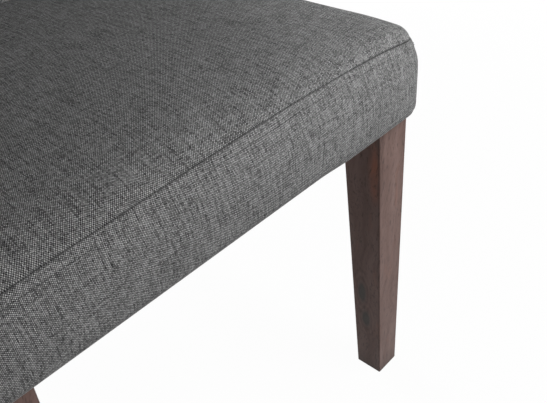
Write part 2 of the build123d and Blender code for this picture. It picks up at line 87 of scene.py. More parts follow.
# Shader helpers
class Nodes:
    """A small writer of the shader nodes of a new material or world."""

    def __init__(self, name, kind="materials"):
        self.made = getattr(bpy.data, kind).new(name)
        self.made.use_nodes = True
        self.tree = self.made.node_tree
        self.shader = self.tree.nodes.get("Principled BSDF")

    def feed(self, socket, value):
        """Links a socket to another or sets its value. Three numbers are an opaque colour."""
        if isinstance(value, bpy.types.NodeSocket):
            self.tree.links.new(value, socket)
        elif isinstance(value, tuple) and len(value) == 3:
            socket.default_value = (*value, 1)
        else:
            socket.default_value = value

    def put(self, kind, inputs=(), **settings):
        node = self.tree.nodes.new("ShaderNode" + kind)
        assign(node, **settings)
        for key, value in dict(inputs).items():
            self.feed(node.inputs[key], value)
        return node

    def math(self, operation, a, b=0.0, clamp=False):
        return self.put("Math", {0: a, 1: b}, operation=operation, use_clamp=clamp).outputs[0]

    def plus(self, a, b):
        return self.math("ADD", a, b)

    def minus(self, a, b):
        return self.math("SUBTRACT", a, b)

    def times(self, a, b):
        return self.math("MULTIPLY", a, b)

    def hypot(self, a, b):
        return self.math("SQRT", self.plus(self.times(a, a), self.times(b, b)))

    def wave(self, value, length):
        """Sine of a place, with its wavelength."""
        return self.math("SINE", self.times(value, 2 * pi / length))

    def xyz(self, x=0.0, y=0.0, z=0.0):
        return self.put("CombineXYZ", {0: x, 1: y, 2: z}).outputs[0]

    def split(self, vector):
        return self.put("SeparateXYZ", {0: vector}).outputs

    def place(self):
        return self.put("TexCoord").outputs["Object"]

    def noise(self, vector, scale=1.0, detail=2.0, rough=0.5):
        values = {"Vector": vector, "Scale": scale, "Detail": detail, "Roughness": rough}
        return self.put("TexNoise", values).outputs["Fac"]

    def grain(self, places, scales, detail=2.0, rough=0.5, layer=()):
        """Noise with a scale of its own along each axis. A layer is a fixed third place."""
        axes = [self.times(p, s) for p, s in zip(places, scales)]
        return self.noise(self.xyz(*axes, *layer), 1.0, detail, rough)

    def ramp(self, value, *stops):
        made = self.put("ValToRGB", {"Fac": value})
        elements = made.color_ramp.elements
        while len(elements) < len(stops):
            elements.new(0.5)
        for element, (place, colour) in zip(elements, stops):
            element.position = place
            element.color = (*colour, 1)
        return made.outputs["Color"]

    def mix(self, factor, a, b, blend="MIX"):
        made = self.put("Mix", data_type="RGBA", blend_type=blend)
        for socket, value in ((made.inputs[0], factor), (made.inputs[6], a), (made.inputs[7], b)):
            self.feed(socket, value)
        return made.outputs[2]

    def range(self, value, low, high, to_low=0.0, to_high=1.0):
        return self.put("MapRange", {0: value, 1: low, 2: high, 3: to_low, 4: to_high}).outputs[0]

    def done(self, colour, rough, **others):
        """Sets the shader's inputs and gives the material."""
        for key, value in {"Base_Color": colour, "Roughness": rough, **others}.items():
            self.feed(self.shader.inputs[key.replace("_", " ")], value)
        return self.made

    def bump(self, height, distance, strength=1.0):
        made = self.put("Bump", {"Height": height, "Distance": distance, "Strength": strength})
        self.feed(self.shader.inputs["Normal"], made.outputs["Normal"])


# Materials
def weave_material():
    """Grey melange plain weave: light warp over dark weft, each yarn and crossing with its own shade."""
    warp_pitch, weft_pitch = 0.00088, 0.00085
    dark_yarn, light_yarn = (0.008, 0.008, 0.0081), (0.665, 0.665, 0.662)
    middle_yarn = (0.140, 0.140, 0.1406)
    painted_seam_shade, painted_fold_light = (0.010, 0.010, 0.0105), (0.55, 0.55, 0.55)
    m = Nodes("grey_weave")
    u, v, _ = m.split(m.put("UVMap", uv_map="weave").outputs[0])
    # No yarn lies quite straight
    wobble_scale, wobble_size = 14.0, 0.0006
    wobble = m.grain((u, v), (wobble_scale, wobble_scale), 1.0)
    drift = m.times(m.minus(wobble, 0.5), wobble_size)
    s = m.math("DIVIDE", m.plus(u, drift), warp_pitch)
    t = m.math("DIVIDE", m.plus(v, drift), weft_pitch)
    i, j = (m.math("FLOOR", place) for place in (s, t))
    over = m.math("MODULO", m.math("ABSOLUTE", m.plus(i, j)), 2.0)
    under = m.minus(1.0, over)
    # Shades that change along each yarn, and from one crossing to the next
    warp = m.grain((i, t), (7.31, 0.045), 2.0, 0.6)
    weft = m.grain((s, j), (0.05, 5.77), 2.0, 0.6, layer=(31.0,))
    yarn = m.plus(m.times(warp, over), m.times(weft, under))
    cell = m.put("TexWhiteNoise", {"Vector": m.xyz(i, j)}, noise_dimensions="2D").outputs["Value"]
    # Yarns of one batch lie side by side, as soft bands both ways
    close, far = 420.0, 32.0
    upright = m.grain((u, v), (close, far), 1.0, layer=(5.0,))
    level = m.grain((u, v), (far, close), 1.0, layer=(9.0,))
    tone = m.range(yarn, 0.2, 0.8, 0.05, 0.95)
    for part, middle, share in ((cell, 0.5, 0.60), (over, 0.5, 0.74), (m.plus(upright, level), 1.0, 0.45)):
        tone = m.plus(tone, m.times(m.minus(part, middle), share))
    # A few thick light slubs in the warp
    thick = m.grain((i, t), (3.17, 0.05), 1.0, layer=(7.0,))
    tone = m.plus(tone, m.times(m.range(thick, 0.64, 0.74), 0.12))
    colour = m.ramp(m.range(tone, -0.25, 1.25), (0.05, dark_yarn), (0.45, middle_yarn), (1.0, light_yarn))
    # Round yarns with painted shade in the gaps beside them
    ridges = [m.math("SINE", m.times(m.math("FRACT", place), pi)) for place in (s, t)]
    crown_s, crown_t = (m.times(a, m.plus(0.45, m.times(b, 0.55))) for a, b in (ridges, ridges[::-1]))
    height = m.plus(m.times(crown_s, over), m.times(crown_t, under))
    gap = m.range(height, 0.05, 0.75, 0.22, 1.0)
    gap_shade = m.put("CombineColor", {0: gap, 1: gap, 2: gap}).outputs[0]
    colour = m.mix(1.0, colour, gap_shade, "MULTIPLY")
    # Painted shade along the seams and the stitching line, and painted light along the fold at the lower
    # edge
    seam = m.put("Attribute", attribute_name="seam").outputs["Fac"]
    colour = m.mix(m.math("MULTIPLY", seam, 0.85, clamp=True), colour, painted_seam_shade)
    colour = m.mix(m.math("MULTIPLY", seam, -0.30, clamp=True), colour, painted_fold_light)
    rough = m.range(yarn, 0.2, 0.8, 0.97, 0.82)
    m.bump(m.plus(height, m.times(yarn, 0.5)), 0.00025, 0.5)
    return m.done(colour, rough, Specular_IOR_Level=0.15, Sheen_Weight=0.08, Sheen_Roughness=0.6)


# Knots and a warm streak on the inner face of the right front leg: y, z, half width, half height
KNOTS = ((-0.2504, 0.1320, 0.0067, 0.0190), (-0.2557, 0.0890, 0.0069, 0.0157))
STREAK = (-0.2695, 0.3140, 0.0085, 0.0400)
LEG_TAPER = 0.0318  # of a front leg's inner face, per metre of height


def stained_wood():
    """Dark stain on close-grained wood, with pores, knots, warm streaks, darker arrises and darker feet, the
    feet partly with painted contact shade.
    """
    warm_stain, knot_stain = (0.330, 0.125, 0.075), (0.050, 0.049, 0.043)
    pore_stain, dark_edges_and_feet = (0.034, 0.021, 0.018), (0.020, 0.012, 0.010)
    m = Nodes("stained_wood")
    place = m.place()
    x, y, z = m.split(place)
    facing = m.split(m.put("NewGeometry").outputs["True Normal"])
    sideways, forwards = (m.range(m.math("ABSOLUTE", facing[k]), 0.6, 0.8) for k in (0, 1))
    inner = m.times(m.range(x, 0.10, 0.11), m.range(x, 0.206, 0.210, 1.0, 0.0))

    def oval(y0, z0, wide, high):
        """Distance from an oval's middle, 1 at its rim."""
        dy = m.math("DIVIDE", m.minus(y, y0), wide)
        dz = m.math("DIVIDE", m.minus(z, z0), high)
        return m.hypot(dy, dz)

    warp = m.times(m.minus(m.noise(place, 9.0, 2.0), 0.5), 0.05)
    gx = m.plus(m.minus(x, m.times(z, 0.05)), warp)
    gy = m.plus(y, warp)
    grain = m.grain((gx, gy, z), (95.0, 95.0, 4.5), 4.0, 0.6)
    broad = m.grain((gx, gy, z), (28.0, 28.0, 3.0))
    fine = m.grain((m.minus(gx, m.times(z, 0.16)), gy, z), (480.0, 480.0, 62.0), 2.0, 0.7)
    tone = m.plus(m.times(grain, 0.62), m.times(broad, 0.38))
    # Rings of grain round the knots
    cores = []
    for knot in KNOTS:
        away = oval(*knot)
        fade = m.times(m.range(away, 1.0, 2.6, 0.10, 0.0), inner)
        tone = m.plus(tone, m.times(m.math("SINE", m.times(away, 9.0)), fade))
        cores.append(m.times(m.range(away, 0.55, 1.15, 0.85, 0.0), inner))
    colour = m.ramp(tone, (0.30, (0.104, 0.059, 0.049)), (0.48, (0.168, 0.103, 0.088)),
                    (0.60, (0.200, 0.126, 0.110)), (0.74, (0.237, 0.154, 0.135)))
    # Warm streaks, one of them by the edge of the right front leg
    warm = m.grain((gx, gy, z), (70.0, 70.0, 16.0), 3.0, 0.6)
    edge_streak = m.times(m.range(oval(*STREAK), 0.35, 1.15, 0.80, 0.0), m.times(inner, sideways))
    edge_streak = m.times(edge_streak, m.range(warm, 0.36, 0.56, 0.25, 1.0))
    warmth = m.math("MAXIMUM", m.range(warm, 0.60, 0.78, 0.0, 0.25), edge_streak)
    colour = m.mix(warmth, colour, warm_stain)
    for core in cores:
        colour = m.mix(core, colour, knot_stain)
    # Pores, then darker colour along the arrises of the front legs and towards the floor at all feet, the
    # latter partly painted contact shade
    pores = m.range(fine, 0.54, 0.68, 0.0, 0.62)
    colour = m.mix(pores, colour, pore_stain)
    front = m.range(y, -0.10, -0.09, 1.0, 0.0)
    rim_y = m.math("MINIMUM", m.minus(y, LEG_Y0), m.minus(LEG_Y1, y))
    rim_y = m.times(m.range(rim_y, 0.0006, 0.0026, 0.70, 0.0), sideways)
    across = m.math("ABSOLUTE", x)
    inner_face = m.minus(LEG_OUT - FOOT, m.times(z, LEG_TAPER))
    rim_x = m.math("MINIMUM", m.minus(across, inner_face), m.minus(LEG_OUT, across))
    rim_x = m.times(m.range(rim_x, 0.0004, 0.0016, 0.35, 0.0), forwards)
    rim = m.times(m.math("MAXIMUM", rim_x, rim_y), front)
    # Painted contact shade: darker towards the floor at all feet
    rim = m.math("MAXIMUM", rim, m.range(z, 0.002, 0.030, 0.35, 0.0))
    colour = m.mix(rim, colour, dark_edges_and_feet)
    m.bump(m.minus(m.times(grain, 0.4), pores), 0.0002, 0.35)
    return m.done(colour, m.range(grain, 0.3, 0.7, 0.52, 0.42), Specular_IOR_Level=0.15,
                  Coat_Weight=0.03, Coat_Roughness=0.35)


def raw_wood():
    """Plain beech of the hidden frame."""
    m = Nodes("frame_wood")
    places = m.split(m.place())
    grain = m.grain(places, (18.0, 60.0, 60.0), 4.0, 0.6)
    fleck = m.grain(places, (160.0, 700.0, 700.0), 1.0)
    colour = m.ramp(grain, (0.3, (0.40, 0.24, 0.12)), (0.5, (0.55, 0.36, 0.20)), (0.7, (0.63, 0.44, 0.26)))
    colour = m.mix(m.range(fleck, 0.62, 0.7, 0.0, 0.5), colour, (0.28, 0.15, 0.07))
    m.bump(grain, 0.0003, 0.4)
    return m.done(colour, m.range(grain, 0.3, 0.7, 0.72, 0.55))


def hardboard():
    """Brown pressed fibre board."""
    m = Nodes("hardboard")
    place = m.place()
    fibre = m.noise(place, 260.0, 5.0, 0.7)
    cloud = m.noise(place, 25.0, 2.0)
    colour = m.ramp(m.plus(m.times(fibre, 0.7), m.times(cloud, 0.3)),
                    (0.35, (0.12, 0.062, 0.030)), (0.65, (0.27, 0.155, 0.080)))
    m.bump(fibre, 0.0003, 0.5)
    return m.done(colour, m.range(fibre, 0.3, 0.7, 0.70, 0.50))


def webbing():
    """Woven jute strap, a little stained."""
    m = Nodes("webbing")
    place = m.place()
    x, y, _ = m.split(place)
    rib = m.wave(m.plus(x, y), 0.0028)
    cross = m.wave(m.minus(x, y), 0.0022)
    weave = m.times(m.plus(m.times(rib, cross), 1.0), 0.5)
    colour = m.ramp(weave, (0.1, (0.20, 0.14, 0.075)), (0.9, (0.46, 0.35, 0.21)))
    spot = m.noise(place, 90.0, 3.0)
    colour = m.mix(m.range(spot, 0.5, 0.7, 0.0, 0.35), colour, (0.16, 0.11, 0.06))
    m.bump(weave, 0.0004, 0.6)
    return m.done(colour, m.range(weave, 0.0, 1.0, 0.95, 0.80))


def dust_cloth():
    """Black spun-bonded cloth with its small bonding points."""
    bond_pitch = 0.0020
    m = Nodes("dust_cloth")
    place = m.place()
    x, y, _ = m.split(place)
    bond = m.range(m.times(m.wave(x, bond_pitch), m.wave(y, bond_pitch)), 0.35, 0.8)
    fibre = m.noise(place, 700.0, 4.0, 0.75)
    colour = m.ramp(fibre, (0.3, (0.010, 0.010, 0.0105)), (0.7, (0.040, 0.040, 0.042)))
    colour = m.mix(m.times(bond, 0.5), colour, (0.006, 0.006, 0.0065))
    m.bump(m.minus(fibre, bond), 0.0002, 0.5)
    return m.done(colour, m.range(fibre, 0.3, 0.7, 0.92, 0.70), Sheen_Weight=0.05)


def thread_material():
    """Twisted grey sewing thread."""
    ply_length = 0.0007
    m = Nodes("sewing_thread")
    place = m.place()
    x, y, z = m.split(place)
    slanted = m.plus(m.plus(x, m.times(y, 1.3)), m.times(z, 1.7))
    ply = m.times(m.plus(m.wave(slanted, ply_length), 1.0), 0.5)
    fuzz = m.noise(place, 1500.0, 2.0)
    colour = m.ramp(m.plus(m.times(ply, 0.6), m.times(fuzz, 0.4)),
                    (0.2, (0.020, 0.020, 0.021)), (0.8, (0.075, 0.075, 0.077)))
    m.bump(ply, 0.0001, 0.5)
    return m.done(colour, m.range(fuzz, 0.3, 0.7, 0.85, 0.70))


def staple_steel():
    """Galvanised wire, a little dulled."""
    m = Nodes("staple_steel")
    dull = m.noise(m.place(), 900.0, 3.0)
    colour = m.ramp(dull, (0.3, (0.32, 0.32, 0.33)), (0.7, (0.62, 0.62, 0.62)))
    return m.done(colour, m.range(dull, 0.3, 0.7, 0.30, 0.55), Metallic=1.0)


# Shapes of the upholstery
def bow(reach, rise):
    """Radius of an arc from its half chord and its rise."""
    return (reach**2 + rise**2) / (2 * rise)


def drawn_in(radius, reach):
    """How far an arc draws in at a reach from its fullest point."""
    return radius - np.sqrt(np.maximum(radius**2 - np.square(reach), 0))


BALL = bow(sqrt((HALF_FRONT - SEAM_INSET) ** 2 + (SEAT_DEPTH / 2) ** 2), SEAT_CROWN)
DRUM = bow(HALF_REAR - SEAM_INSET, BACK_CROWN)


def smooth(value):
    """Eased step from 0 to 1."""
    value = np.clip(value, 0, 1)
    return value * value * (3 - 2 * value)


class SeatForm:
    """The seat: p runs from the back to the front edge, h is the height."""

    length, radius = SEAT_DEPTH, SEAT_CORNER
    half, taper = HALF_REAR, SEAT_TAPER
    low, full, high = UNDERSIDE - CLEAR, FULLEST, SEAM_LEVEL
    low_inset, high_inset = HEM_INSET, SEAM_INSET
    out = np.array((0, 0, 1))
    foot_to = 0.030  # where the boxing leaves the back, at every height
    foot_in_panel = True
    back_gap = 0.0010
    roll = 0.0195  # radius of the padded edge above the seam
    hem_reach = 0.028

    def place(self, x, p, h):
        return np.stack([x, FACE_Y - p, h], -1)

    def crown(self, x, p):
        return SEAT_TOP - drawn_in(BALL, np.hypot(x, p - SEAT_DEPTH / 2))

    def foot(self, h):
        return (SEAT_TOP - h) * tan(LEAN) + self.back_gap

    def panel_foot(self, x):
        return (BACK_CROWN - drawn_in(DRUM, x)) / cos(LEAN) + self.back_gap

    def dip(self, x, p):
        """How far the lower edge hangs down in front of the right leg."""
        depth, start, over = 0.0022, 0.085, 0.045
        y = FACE_Y - p
        return depth * smooth((x - start) / over) * smooth((LEG_Y1 + over - y) / over)

    def plump(self, x, p):
        """Share of the rolled edge: full along the sides, none along the middle of the front."""
        flat_from, flat_over = 0.030, 0.075
        return 1 - smooth((self.half + self.taper * p - np.abs(x) - flat_from) / flat_over)

    def eased(self, local):
        """The front corners stand out and sink a little at the seam, which also sags left of the middle."""
        corner_x, corner_p, corner_reach = 0.2344, 0.4060, 0.035
        stand_out, sink = 0.0013, 0.0020
        depth, start, over, fade = 0.0045, 0.13, 0.24, 0.05
        x, p, h = np.moveaxis(local, -1, 0)
        gone = np.hypot(np.abs(x) - corner_x, p - corner_p) / corner_reach
        top = smooth((h - FULLEST) / (SEAM_LEVEL - FULLEST))
        near = np.exp(-gone**2) * top
        sag = depth * smooth((start - x) / over) * smooth((x + HALF_FRONT) / fade) * top
        sag = sag * np.exp(-np.maximum(SEAT_DEPTH - p - SEAM_INSET, 0) / fade)
        stand = stand_out * near
        return np.stack([np.sign(x) * stand, -stand, -sink * near - sag], -1)

    def hem(self, x, p):
        """How far the hem reaches under the rails: up to the leg where there is one."""
        y = FACE_Y - p
        at_leg = (np.abs(x) > LEG_IN - LEG_MARGIN) & (y < LEG_Y1 + LEG_MARGIN)
        return np.where(at_leg, OVERHANG - CLEAR, self.hem_reach)


class BackForm:
    """The back: p is the rise along it, h stands out of its face."""

    length, radius = BACK_HEIGHT, BACK_CORNER
    half, taper = HALF_REAR, 0.0
    low, full, high = -BACK_THICK, -BACK_THICK / 2, 0.0
    low_inset, high_inset = BACK_REAR_INSET, SEAM_INSET
    out = np.array((0, -cos(LEAN), sin(LEAN)))
    foot_to = -0.020  # where the inside panel ends, behind the seat
    foot_in_panel = False
    roll = 0.013
    hem_reach = 0.012

    def place(self, x, p, h):
        return np.stack([x, FACE_Y + p * sin(LEAN) - h * cos(LEAN),
                         SEAT_TOP + p * cos(LEAN) + h * sin(LEAN)], -1)

    def crown(self, x, p):
        return BACK_CROWN - drawn_in(DRUM, x)

    def foot(self, h):
        return (UNDERSIDE - SEAT_TOP - h * sin(LEAN)) / cos(LEAN)

    def panel_foot(self, x):
        return np.full_like(x, self.foot_to)

    def dip(self, x, p):
        return np.zeros_like(x)

    def plump(self, x, p):
        return np.ones_like(x)

    def eased(self, local):
        return np.zeros_like(local)

    def hem(self, x, p):
        return np.full_like(x, self.hem_reach)


def columns(form, step):
    """The boxing's columns from the right foot to the left one: kind, value and side."""
    turn = atan(form.taper)
    # The corner arc touches the side and the end: its centre and where the straight side stops
    centre_p = form.length - form.radius
    centre_x = form.half + form.taper * centre_p - form.radius / cos(turn)
    side_stop = centre_p - form.radius * sin(turn)
    feet = max(2, ceil(abs(form.foot_to - float(form.foot(np.array(form.full)))) / step))
    half = [("foot", f) for f in np.linspace(0, 1, feet + 1)[:-1]]
    count = ceil((side_stop - form.foot_to) / step)
    half += [("side", p) for p in np.linspace(form.foot_to, side_stop, count + 1)[:-1]]
    count = 2 * ceil(form.radius * (pi / 2 + turn) / (2 * min(step, FINE_STEP)))
    half += [("arc", a) for a in np.linspace(-turn, pi / 2, count + 1)[:-1]]
    arc_middle = len(half) - count // 2
    count = ceil(centre_x / step)
    half += [("end", x) for x in np.linspace(centre_x, 0, count + 1)]
    whole = [(k, v, 1) for k, v in half] + [(k, v, -1) for k, v in half[-2::-1]]
    return whole, (centre_x, centre_p), feet, arc_middle


def column_places(form, cols, centre, h, inset):
    """Plan places of all columns at heights h (one per column) and insets."""
    x, p = np.zeros(len(cols)), np.zeros(len(cols))
    out_x, out_p = np.zeros(len(cols)), np.zeros(len(cols))
    turn = atan(form.taper)
    for n, (kind, value, side) in enumerate(cols):
        if kind in ("foot", "side"):
            p0 = value
            if kind == "foot":
                start = float(form.foot(h[n]))
                p0 = start + (form.foot_to - start) * value
            x[n], p[n] = form.half + form.taper * p0, p0
            out_x[n], out_p[n] = cos(turn), -sin(turn)
        elif kind == "arc":
            out_x[n], out_p[n] = cos(value), sin(value)
            x[n], p[n] = centre[0] + form.radius * out_x[n], centre[1] + form.radius * out_p[n]
        else:
            out_x[n], out_p[n] = 0, 1
            x[n], p[n] = value, form.length
        x[n] *= side
        out_x[n] *= side
    return x - out_x * inset, p - out_p * inset


def swell_inset(form, h):
    """How far the boxing lies inside its fullest line at heights h."""
    up = drawn_in(bow(form.high - form.full, form.high_inset), h - form.full)
    down = drawn_in(bow(form.full - form.low, form.low_inset), h - form.full)
    return np.where(h > form.full, up, down)


def seam_line(form, cols, centre):
    """Where the boxing meets the crowned panel: plan places and heights, settled in a few rounds."""
    h = np.full(len(cols), form.high)
    for _ in range(12):
        x, p = column_places(form, cols, centre, h, swell_inset(form, h))
        h = form.crown(x, p)
    return np.stack([x, p, h], -1)


def blended_grid(left, right, near, far):
    """Grid of points between four edges that meet at their corners."""
    a = np.linspace(0, 1, len(near))[:, None, None]
    b = np.linspace(0, 1, len(left))[None, :, None]
    ruled = (1 - a) * left[None] + a * right[None] + (1 - b) * near[:, None] + b * far[:, None]
    corners = ((1 - a) * (1 - b) * near[0] + a * (1 - b) * near[-1]
               + (1 - a) * b * far[0] + a * b * far[-1])
    return ruled - corners


def panel_edges(rim, first, arc_middle):
    """Left, right and end edges of a panel inside a rim of columns, and its foot with x filled in."""
    total = len(rim)
    right = rim[first:arc_middle + 1]
    left = rim[total - 1 - arc_middle:total - first][::-1]
    end = rim[arc_middle:total - arc_middle][::-1]
    foot = np.zeros_like(end)
    foot[:, 0] = np.linspace(left[0][0], right[0][0], len(end))
    return left, right, end, foot


def quads(shape, first, flip):
    """Faces of a grid of points."""
    n, k = shape
    index = first + np.arange(n * k).reshape(n, k)
    a, b, c, d = index[:-1, :-1], index[1:, :-1], index[1:, 1:], index[:-1, 1:]
    order = (a, d, c, b) if flip else (a, b, c, d)
    return np.stack(order, -1).reshape(-1, 4)


def graded(total, first, step):
    """Distances from 0 to total, close at the start, then growing to a step."""
    growth, last_share = 1.45, 0.6
    out, size = [0.0], first
    while out[-1] + size < total - step * last_share:
        out.append(out[-1] + size)
        size = min(size * growth, step)
    return np.array(out + [total])


class Shell:
    """One cover built as two grids: the boxing (columns by rows) and the crowned panel."""

    first_row = 0.0006
    low_rows = np.array([0.0006, 0.0018, 0.0040])  # above the fold
    low_room = 0.0065  # kept free of other rows above the fold
    dip_power = 2.2  # how soon the dip fades upwards

    def __init__(self, form, step, fine):
        self.form = form
        self.cols, self.centre, feet, self.arc_middle = columns(form, step)
        self.seam = seam_line(form, self.cols, self.centre)
        # Rows of the boxing, from the seam down to the fold at its lower edge
        bottom = form.low + FOLD
        height = form.high - bottom
        if fine:
            down = graded(height, self.first_row, step)[:-1]
            down = down[down < height - self.low_room]
            self.down = np.concatenate([down, height - self.low_rows[::-1], [height]])
        else:
            self.down = np.linspace(0, height, max(5, round(height / step)) + 1)
        rows = []
        for f in 1 - self.down / height:
            h = bottom + (self.seam[:, 2] - bottom) * f
            x, p = self.plan(h, swell_inset(form, h))
            h = h - form.dip(x, p) * (1 - f) ** self.dip_power
            rows.append(np.stack([x, p, h], -1))
        rows[0] = self.seam
        if fine:
            rows += self.hem_rows(bottom)
        self.boxing = np.stack(rows, 1)  # columns, rows, (x, p, h)
        self.first = 0 if form.foot_in_panel else feet
        self.panel = self.panel_grid()

    def plan(self, h, inset):
        return column_places(self.form, self.cols, self.centre, h, inset)

    def hem_rows(self, bottom):
        """Rows round the fold and along the hem under the rails."""
        form = self.form
        h = np.full(len(self.cols), bottom)
        base = swell_inset(form, h)
        x, p = self.plan(h, base)
        dip, reach = form.dip(x, p), form.hem(x, p) - base
        rows = []
        for go, share in ((0.0004, 0.7), (0.0015, 1.0), (0.45 * reach, 1.0), (reach, 1.0)):
            x, p = self.plan(h, base + go)
            rows.append(np.stack([x, p, h - dip - share * FOLD], -1))
        return rows

    def panel_grid(self):
        """The panel inside the seam, whose edges are the boxing's columns."""
        form = self.form
        left, right, end, foot = panel_edges(self.seam, self.first, self.arc_middle)
        foot[:, 1] = form.panel_foot(foot[:, 0])
        blend = np.linspace(0, 1, len(end))
        foot[:, 1] += (1 - blend) * (left[0][1] - foot[0, 1]) + blend * (right[0][1] - foot[-1, 1])
        foot[:, 2] = form.crown(foot[:, 0], foot[:, 1])
        grid = blended_grid(left, right, foot, end)
        inner = grid[1:-1, :-1]
        inner[..., 2] = form.crown(inner[..., 0], inner[..., 1])
        return grid

    def places(self, grid):
        return self.form.place(*np.moveaxis(grid, -1, 0))


def normals_of(points):
    """Unit normals of a grid of points, by differences along it."""
    du, dv = np.gradient(points, axis=0), np.gradient(points, axis=1)
    n = np.cross(du, dv)
    return n / np.maximum(np.linalg.norm(n, axis=-1, keepdims=True), 1e-12)


def faces_away(points, way):
    """Whether a grid's normals point against a way, or against one for each point."""
    return np.mean(np.sum(normals_of(points) * way, -1)) < 0


def outward(points, middle):
    """Normals that point away from a cover's middle."""
    return -normals_of(points) if faces_away(points, points - middle) else normals_of(points)


def heart_of(form, panel):
    """A point inside a cover, behind the middle of its panel."""
    depth = 0.08
    return panel.reshape(-1, 3).mean(0) - form.out * depth


# Meshes and objects
def linked(name, data):
    obj = bpy.data.objects.new(name, data)
    bpy.context.scene.collection.objects.link(obj)
    return obj


def smooth_object(name, mesh):
    mesh.polygons.foreach_set("use_smooth", np.ones(len(mesh.polygons), bool))
    return linked(name, mesh)


def mesh_object(name, points, faces, material=None, uv=None, seam=None):
    mesh = bpy.data.meshes.new(name)
    mesh.from_pydata(points.tolist(), [], faces.tolist())
    if material:
        mesh.materials.append(material)
    if uv is not None:
        layer = mesh.uv_layers.new(name="weave")
        loops = np.zeros(len(mesh.loops), np.int32)
        mesh.loops.foreach_get("vertex_index", loops)
        layer.uv.foreach_set("vector", uv[loops].astype(np.float32).ravel())
    # The seam attribute darkens the weave as painted shade and, where negative, lightens it as painted light
    if seam is not None:
        layer = mesh.attributes.new("seam", "FLOAT", "POINT")
        layer.data.foreach_set("value", seam.astype(np.float32))
    return smooth_object(name, mesh)


def tube_faces(first, rings, sides):
    """Faces between rings of points that follow one another."""
    faces = []
    for r in range(rings - 1):
        for k in range(sides):
            a = first + sides * r + k
            b = first + sides * r + (k + 1) % sides
            faces.append((a, b, b + sides, a + sides))
    return faces


def stiffened(obj, thickness, offset):
    """Gives a sheet of cloth its thickness and puts it on the chair's body."""
    assign(obj.modifiers.new("cloth_thickness", "SOLIDIFY"), thickness=thickness, offset=offset)
    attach(obj, "root")


# Camera at the photograph's viewing angle
camera_data = bpy.data.cameras.new("camera")
camera = linked("camera", camera_data)
camera_place = (-0.2739, -0.5995, 0.7120)
yaw, pitch, roll = radians(44.181), radians(36.768), radians(5.328)
ahead = Vector((sin(yaw) * cos(pitch), cos(yaw) * cos(pitch), -sin(pitch)))
right = Vector((cos(yaw), -sin(yaw), 0))
down = ahead.cross(right)
across = cos(roll) * right + sin(roll) * down
below = -sin(roll) * right + cos(roll) * down
turn = Matrix((across, -below, -ahead)).transposed().to_4x4()
camera.matrix_world = Matrix.Translation(camera_place) @ turn
assign(camera_data, sensor_width=36, lens=44.64, clip_start=0.01)
bpy.context.scene.camera = camera


# Cloth simulation of a cover
def swollen(form, frames=20, cap=0.003):
    """How the fabric moves when its filling swells: the shell and its boxing and panel movements."""
    shell = Shell(form, COARSE_STEP, False)
    grids = [shell.places(shell.boxing), shell.places(shell.panel)]
    heart = heart_of(form, grids[1])
    flips = [faces_away(g, g - heart) for g in grids]
    points = np.concatenate([g.reshape(-1, 3) for g in grids])
    cut = grids[0][..., 0].size
    faces = np.concatenate([quads(g.shape[:2], n, f) for g, n, f in zip(grids, (0, cut), flips)])
    # Sewn along the seam, stapled along the lower edge and at the ends
    held = []
    for grid in grids:
        pinned = np.zeros(grid.shape[:2], bool)
        pinned[0] = pinned[-1] = pinned[:, 0] = pinned[:, -1] = True
        held.append(pinned.ravel())
    held = np.concatenate(held)
    _, first, back = np.unique(np.round(points, 6), axis=0, return_index=True, return_inverse=True)
    back = back.ravel()
    obj = mesh_object("swelling", points[first], back[faces])
    pins = obj.vertex_groups.new(name="pins")
    pins.add([int(i) for i in np.unique(back[held])], 1.0, "REPLACE")
    cloth = obj.modifiers.new("Cloth", "CLOTH")
    assign(cloth.settings, quality=6, mass=0.25, tension_stiffness=22, compression_stiffness=22,
           shear_stiffness=8, bending_stiffness=3, air_damping=4, use_pressure=True,
           uniform_pressure_force=20, vertex_group_mass="pins")
    cloth.settings.effector_weights.gravity = 0
    cloth.collision_settings.use_collision = False
    assign(cloth.point_cache, frame_start=1, frame_end=frames)
    scene = bpy.context.scene
    for f in range(1, frames + 1):
        scene.frame_set(f)
    shaped = obj.evaluated_get(bpy.context.evaluated_depsgraph_get()).to_mesh()
    co = np.zeros(len(shaped.vertices) * 3, np.float32)
    shaped.vertices.foreach_get("co", co)
    moved = co.reshape(-1, 3)[back] - points
    length = np.maximum(np.linalg.norm(moved, axis=1, keepdims=True), 1e-9)
    moved *= cap * np.tanh(length / cap) / length
    bpy.data.meshes.remove(obj.data)
    scene.frame_set(1)
    return shell, [moved[:cut].reshape(grids[0].shape), moved[cut:].reshape(grids[1].shape)]


def run_along(points):
    """Distance along a line of points from its start."""
    steps = np.linalg.norm(np.diff(points, axis=0), axis=1)
    return np.concatenate([[0], np.cumsum(steps)])


def share_along(points):
    """Share of the way along a line of points."""
    run = run_along(points)
    return run / run[-1]


def middle_lines(grid):
    """Shares of the way along the two lines through the middle of a grid."""
    n, k = grid.shape[:2]
    return share_along(grid[:, k // 2]), share_along(grid[n // 2])


def spread(values, u_from, v_from, u_to, v_to):
    """Values of a grid at other places along its two directions."""
    once = np.apply_along_axis(lambda line: np.interp(u_to, u_from, line), 0, values)
    return np.apply_along_axis(lambda line: np.interp(v_to, v_from, line), 1, once)


def nearest(points, line):
    """Distance of each point from a line of points, and the way to it."""
    block = 512  # points worked on at a time
    flat = points.reshape(-1, 3)
    a, ab = line[:-1], np.diff(line, axis=0)
    size = np.maximum(np.sum(ab * ab, 1), 1e-15)
    way = np.empty_like(flat)
    for n in range(0, len(flat), block):
        q = flat[n:n + block, None] - a[None]
        t = np.clip(np.sum(q * ab[None], -1) / size, 0, 1)
        ways = t[..., None] * ab[None] - q
        way[n:n + block] = ways[np.arange(len(q)), np.argmin(np.sum(ways**2, -1), 1)]
    gap = np.linalg.norm(way, axis=1)
    way /= np.maximum(gap, 1e-9)[:, None]
    return gap.reshape(points.shape[:2]), way.reshape(points.shape)


EDGE_SLOPE = radians(27)  # of the padded edge's normal where it starts at the seam


